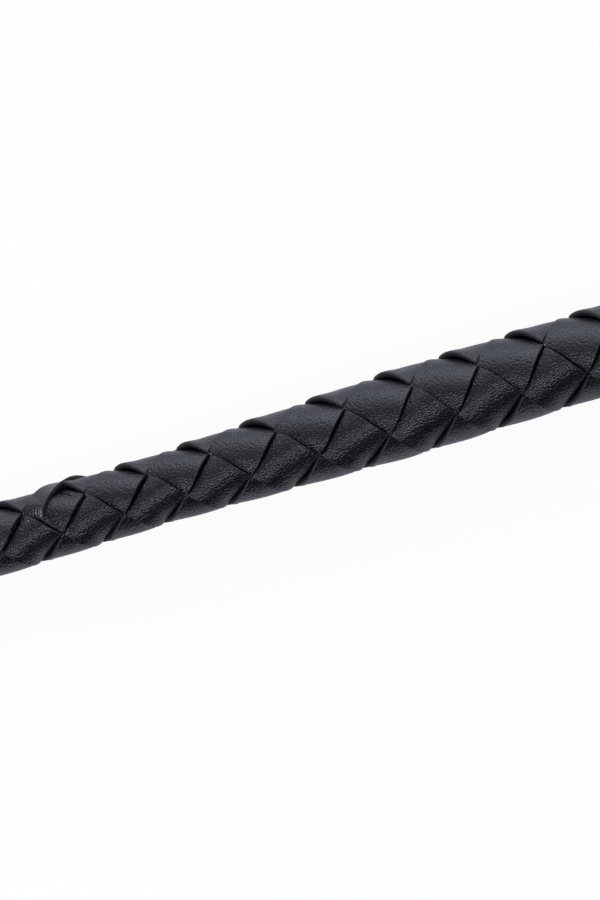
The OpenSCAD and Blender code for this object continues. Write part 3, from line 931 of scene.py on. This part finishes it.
def ply_group():
    """Yarns of a braided or wound thread, found from the place round and along the crop.

    u and v count strands along the two slants of the braid, as in woven_sleeve. Braid is a cosine wave of
    three yarns across the strand that lies on top, and Wound is a sine wave that slants over each turn of a
    wound thread. Gap is 1 where a strand dips at its edge.
    """
    group, inside, outside = new_group("thread_ply", {}, ("Braid", "Wound", "Gap"))
    place = add(group, "ShaderNodeSeparateXYZ", {0: inside["Vector"]}).outputs
    up = math_node(group, "SUBTRACT", place["Z"], AXIS_Z)
    turn = math_node(group, "DIVIDE", math_node(group, "ARCTAN2", place["Y"], up), TAU)
    turn = math_node(group, "ADD", turn, 4.0)
    strand = math_node(group, "MULTIPLY", turn, float(BRAID_STRANDS))
    travel = math_node(group, "DIVIDE", place["X"], BRAID_CELL)
    u = math_node(group, "ADD", strand, travel)
    v = math_node(group, "SUBTRACT", strand, travel)
    cells = math_node(group, "ADD", math_node(group, "FLOOR", u), math_node(group, "FLOOR", v))
    v_on_top = math_node(group, "FLOORED_MODULO", cells, 2.0)
    keep_u = math_node(group, "MULTIPLY", u, math_node(group, "SUBTRACT", 1.0, v_on_top))
    across = math_node(group, "ADD", keep_u, math_node(group, "MULTIPLY", v, v_on_top))
    yarn = math_node(group, "COSINE", math_node(group, "MULTIPLY", across, 3 * TAU))
    off_middle = math_node(group, "SUBTRACT", math_node(group, "FRACT", across), 0.5)
    off_middle = math_node(group, "ABSOLUTE", off_middle)
    slant = math_node(group, "MULTIPLY", place["X"], TAU / (1.1 * MM))
    slant = math_node(group, "ADD", slant, math_node(group, "MULTIPLY", turn, 36 * TAU))
    ridge = value_range(group, math_node(group, "SINE", slant), -1.0, 1.0, 0.0, 0.45)
    group.links.new(value_range(group, yarn, 1.0, -1.0), outside["Braid"])
    group.links.new(value_range(group, off_middle, 0.38, 0.5), outside["Gap"])
    group.links.new(ridge, outside["Wound"])
    return group


# Finishes

def plaiting_leather(grain):
    """Fine-grained black plaiting leather: a cool satin face with shade painted into its creases, and dull
    fibrous cut edges.

    The cut_edge mark picks out the edges, and the edge_depth mark darkens them towards the lower face:
    painted shade at the foot of each cut wall.
    """
    material, tree, shader = new_material("plaiting_leather")
    skin = effect(tree, grain, Cells=2000.0)
    cut = mark(tree, "cut_edge")
    face = colour_mix(tree, skin["Mottle"], (0.0036, 0.0038, 0.0050, 1), (0.0058, 0.0061, 0.0078, 1))
    # painted shade: the grain's creases are darkened in colour, standing in for the shade that falls in them
    face = colour_mix(tree, skin["Crease"], face, (0.0018, 0.0018, 0.0024, 1))
    fibres = noise(tree, place_on(tree), 4200.0, 3.0)
    flesh = colour_mix(tree, fibres["Fac"], (0.009, 0.0087, 0.0085, 1), (0.056, 0.054, 0.052, 1))
    # painted shade: each cut wall is darkened towards its foot, where shade falls between the laces
    painted_wall_shade = value_range(tree, mark(tree, "edge_depth"), 0.2, 0.7)
    flesh = colour_mix(tree, painted_wall_shade, flesh, (0.003, 0.003, 0.003, 1))
    rough = value_range(tree, skin["Mottle"], 0.3, 0.7, 0.215, 0.265)
    rough = math_node(tree, "ADD", rough, math_node(tree, "MULTIPLY", cut, 0.45))
    rough = math_node(tree, "ADD", rough, math_node(tree, "MULTIPLY", skin["Crease"], 0.3))
    relief = math_node(tree, "MULTIPLY", skin["Height"], math_node(tree, "SUBTRACT", 1.0, cut))
    join(tree, shader, colour_mix(tree, cut, face, flesh), rough, relief, 0.68, 0.00006)
    return material


def finished_leather(grain):
    """Black bridle leather of the loop and keeper: a fine waxed grain with shade painted into its creases,
    burnished where cut_edge marks it.
    """
    material, tree, shader = new_material("finished_leather")
    skin = effect(tree, grain, Cells=1500.0)
    cut = mark(tree, "cut_edge")
    face = colour_mix(tree, skin["Mottle"], (0.0060, 0.0062, 0.0072, 1), (0.0110, 0.0112, 0.0126, 1))
    # painted shade: the grain's creases are darkened in colour
    face = colour_mix(tree, skin["Crease"], face, (0.0035, 0.0035, 0.0040, 1))
    colour = colour_mix(tree, cut, face, (0.010, 0.0085, 0.0075, 1))
    rough = value_range(tree, skin["Mottle"], 0.3, 0.7, 0.34, 0.46)
    relief = math_node(tree, "MULTIPLY", skin["Height"], math_node(tree, "SUBTRACT", 1.0, cut))
    join(tree, shader, colour, rough, relief, 0.5, 0.00006)
    return material


def spun_thread(name, streaks, ply, laid, gap_shade_strength):
    """Black waxed thread: a dull sheen, the laid yarns as ridges, with fibres as fine streaks, and shade
    painted into the gaps where strands dip.
    """
    material, tree, shader = new_material(name)
    yarns = effect(tree, ply)
    fibre = effect(tree, streaks, Scale=5200.0)
    colour = colour_mix(tree, fibre["Streak"], (0.0045, 0.0045, 0.0052, 1), (0.016, 0.016, 0.018, 1))
    # painted shade: the colour darkens where a braided strand dips at its edge, between the strands
    painted_gap_shade = math_node(tree, "MULTIPLY", yarns["Gap"], gap_shade_strength)
    colour = colour_mix(tree, painted_gap_shade, colour, (0.0025, 0.0025, 0.0028, 1))
    rough = value_range(tree, fibre["Broad"], 0.3, 0.7, 0.42, 0.58)
    height = math_node(tree, "MULTIPLY", fibre["Streak"], 0.35)
    height = math_node(tree, "ADD", height, yarns[laid])
    join(tree, shader, colour, rough, height, 0.7, 0.00012)
    shader["Sheen Weight"].default_value = 0.12
    return material


def streaked(name, streaks, scale, dark, light, rough_low, rough_high):
    """A fibrous solid such as dyed wood or glass fibre: two colours along its streaks."""
    material, tree, shader = new_material(name)
    fibre = effect(tree, streaks, Scale=scale)
    colour = colour_mix(tree, fibre["Streak"], dark, light)
    rough = value_range(tree, fibre["Broad"], 0.3, 0.7, rough_low, rough_high)
    join(tree, shader, colour, rough, fibre["Streak"], 0.3, 0.00005)
    return material


def handled(name, marks, clean, worn, rough_low, rough_high, metallic, coat):
    """A hard smooth finish, lacquer or metal, with smudges in its gloss and hairline scratches."""
    material, tree, shader = new_material(name)
    use = effect(tree, marks)
    colour = colour_mix(tree, use["Scratch"], clean, worn)
    rough = value_range(tree, use["Smudge"], 0.3, 0.7, rough_low, rough_high)
    rough = math_node(tree, "ADD", rough, math_node(tree, "MULTIPLY", use["Scratch"], 0.2))
    join(tree, shader, colour, rough, use["Smudge"], 0.12, 0.00005)
    shader["Metallic"].default_value = metallic
    shader["Coat Weight"].default_value = coat
    shader["Coat Roughness"].default_value = 0.06
    return material


def refinish(finish, *nodes):
    """Give the nodes that keep their own shape a better material."""
    for node in nodes:
        for held in frame["nodes"][node].material_slots:
            held.material = finish


# Stage

def seen_straight(tree, path):
    """1 for rays from the camera, and for those that a clear thing lets through."""
    return math_node(tree, "MAXIMUM", path["Is Camera Ray"], path["Is Transmission Ray"])


def white_sweep():
    """A white floor: a glow that the camera sees, mixed with its lit shade so that it keeps the shadow.

    A small share of the glow also shows in reflections, a little cooler.
    """
    mesh = bpy.data.meshes.new("floor")
    corners = [(x * FLOOR_REACH, y * FLOOR_REACH, 0) for x, y in ((-1, -1), (1, -1), (1, 1), (-1, 1))]
    mesh.from_pydata(corners, [], [(0, 1, 2, 3)])
    floor = bpy.data.objects.new("floor", mesh)
    bpy.context.scene.collection.objects.link(floor)
    material = bpy.data.materials.new("floor_white")
    material.use_nodes = True
    tree = material.node_tree
    tree.nodes.clear()
    path = add(tree, "ShaderNodeLightPath").outputs
    mirrored = math_node(tree, "MULTIPLY", path["Is Glossy Ray"], FLOOR_MIRRORED)
    share = math_node(tree, "MAXIMUM", seen_straight(tree, path), mirrored)
    share = math_node(tree, "MULTIPLY", share, FLOOR_GLOW)
    lit = add(tree, "ShaderNodeBsdfDiffuse", {"Color": (0.95, 0.95, 0.95, 1)})
    tint = colour_mix(tree, path["Is Glossy Ray"], WHITE, (0.90, 0.95, 1.0, 1))
    glow = add(tree, "ShaderNodeEmission", {"Color": tint, "Strength": 1.0})
    both = add(tree, "ShaderNodeMixShader", {0: share, 1: lit.outputs[0], 2: glow.outputs[0]})
    add(tree, "ShaderNodeOutputMaterial", {"Surface": both.outputs[0]})
    mesh.materials.append(material)


def soft_light(name, place, size, watts):
    """A rectangular area light at a place, turned to face the neck of the handle."""
    lamp = bpy.data.lights.new(name, "AREA")
    lamp.shape = "RECTANGLE"
    lamp.size, lamp.size_y = size
    lamp.energy = watts
    lamp.color = LAMP_TINT
    light = bpy.data.objects.new(name, lamp)
    light.location = place
    away = np.array(place) - np.array([LAMP_AIM_X, 0, AXIS_Z])
    tilt = math.acos(away[2] / np.linalg.norm(away))
    light.rotation_euler = (tilt, 0, math.atan2(away[0], -away[1]))
    bpy.context.scene.collection.objects.link(light)


def light_studio():
    """A soft room that brightens towards the far side and the butt, and four lamps.

    The softbox stands on the far side and the narrow lamp over the near side. Two low lamps towards the tip
    light the cut edges of the laces. With the direction (x, y, z), the room's level is a plain share, plus a
    share of y, plus on the far side a share of y cubed, all times one plus a share of x. The camera itself
    sees it white.
    """
    soft_light("softbox", (0.42, 0.58, 0.40), (1.3, 0.90), 2.5)
    soft_light("side_lamp", (0.05, -0.24, 0.66), (0.8, 0.05), 1.5)
    soft_light("near_end_lamp", (-0.85, -0.40, 0.40), (0.4, 0.4), 6.0)
    soft_light("far_end_lamp", (-0.95, 0.40, 0.30), (0.4, 0.4), 6.0)
    world = bpy.data.worlds.new("room")
    bpy.context.scene.world = world
    world.use_nodes = True
    tree = world.node_tree
    way = add(tree, "ShaderNodeTexCoord").outputs["Generated"]
    way = add(tree, "ShaderNodeSeparateXYZ", {0: way}).outputs
    far = math_node(tree, "POWER", math_node(tree, "MAXIMUM", way["Y"], 0.0), 3.0)
    level = math_node(tree, "MULTIPLY_ADD", way["Y"], 0.30, 0.235)
    level = math_node(tree, "ADD", level, math_node(tree, "MULTIPLY", far, 1.5))
    level = math_node(tree, "MULTIPLY", level, math_node(tree, "MULTIPLY_ADD", way["X"], 0.9, 1.0))
    seen = seen_straight(tree, add(tree, "ShaderNodeLightPath").outputs)
    level = math_node(tree, "MULTIPLY_ADD", seen, math_node(tree, "SUBTRACT", 1.0, level), level)
    back = tree.nodes["Background"].inputs
    tree.links.new(colour_mix(tree, seen, ROOM_TINT, WHITE), back["Color"])
    tree.links.new(level, back["Strength"])


def set_camera():
    """Straight above the handle and turned so that the crop rises to the right, as in the photograph.

    The lens is the sensor's width times the distance to the crop's axis, over the length that is framed.
    """
    data = bpy.data.cameras.new("camera")
    data.sensor_width = SENSOR
    data.lens = SENSOR * (VIEW_HEIGHT - AXIS_Z) / VIEW_FRAME
    data.clip_start = 0.01
    camera = bpy.data.objects.new("camera", data)
    camera.location = (BUTT_X - VIEW_BACK_FROM_BUTT, VIEW_SIDE, VIEW_HEIGHT)
    camera.rotation_euler = (0, 0, -VIEW_TURN)
    bpy.context.scene.collection.objects.link(camera)
    bpy.context.scene.camera = camera


bpy.context.scene.view_settings.view_transform = "Standard"
set_camera()
light_studio()
white_sweep()

grain = leather_grain_group()
streaks = streak_group()
ply = ply_group()
marks_of_use = handling_group()
plait_finish = plaiting_leather(grain)
strap_finish = finished_leather(grain)
braid_finish = spun_thread("braided_thread", streaks, ply, "Braid", 0.9)
thread_finish = spun_thread("wound_thread", streaks, ply, "Wound", 0.0)
lacquer = handled(
    "black_lacquer", marks_of_use, (0.006, 0.006, 0.007, 1), (0.03, 0.03, 0.03, 1), 0.16, 0.28, 0.0, 0.5)
steel = handled(
    "pin_steel", marks_of_use, (0.55, 0.56, 0.58, 1), (0.7, 0.7, 0.7, 1), 0.22, 0.36, 1.0, 0.0)
plate = handled(
    "nickel_plate", marks_of_use, (0.66, 0.64, 0.60, 1), (0.5, 0.48, 0.44, 1), 0.14, 0.26, 1.0, 0.0)
dyed_wood = streaked(
    "dyed_wood", streaks, 900.0, (0.006, 0.005, 0.004, 1), (0.018, 0.015, 0.012, 1), 0.5, 0.65)
glass_fibre = streaked(
    "glass_fibre", streaks, 2600.0, (0.62, 0.58, 0.44, 1), (0.78, 0.75, 0.62, 1), 0.3, 0.42)

make_laces(plait_finish)
make_knots(plait_finish)
make_shaft(braid_finish, thread_finish)
make_butt(lacquer, steel, plate)
make_wrist_loop(strap_finish)
make_keeper(strap_finish, thread_finish)
refinish(dyed_wood, "handle_core")
refinish(glass_fibre, "shaft_rod")
refinish(steel, "core_pin", "cap_pin")
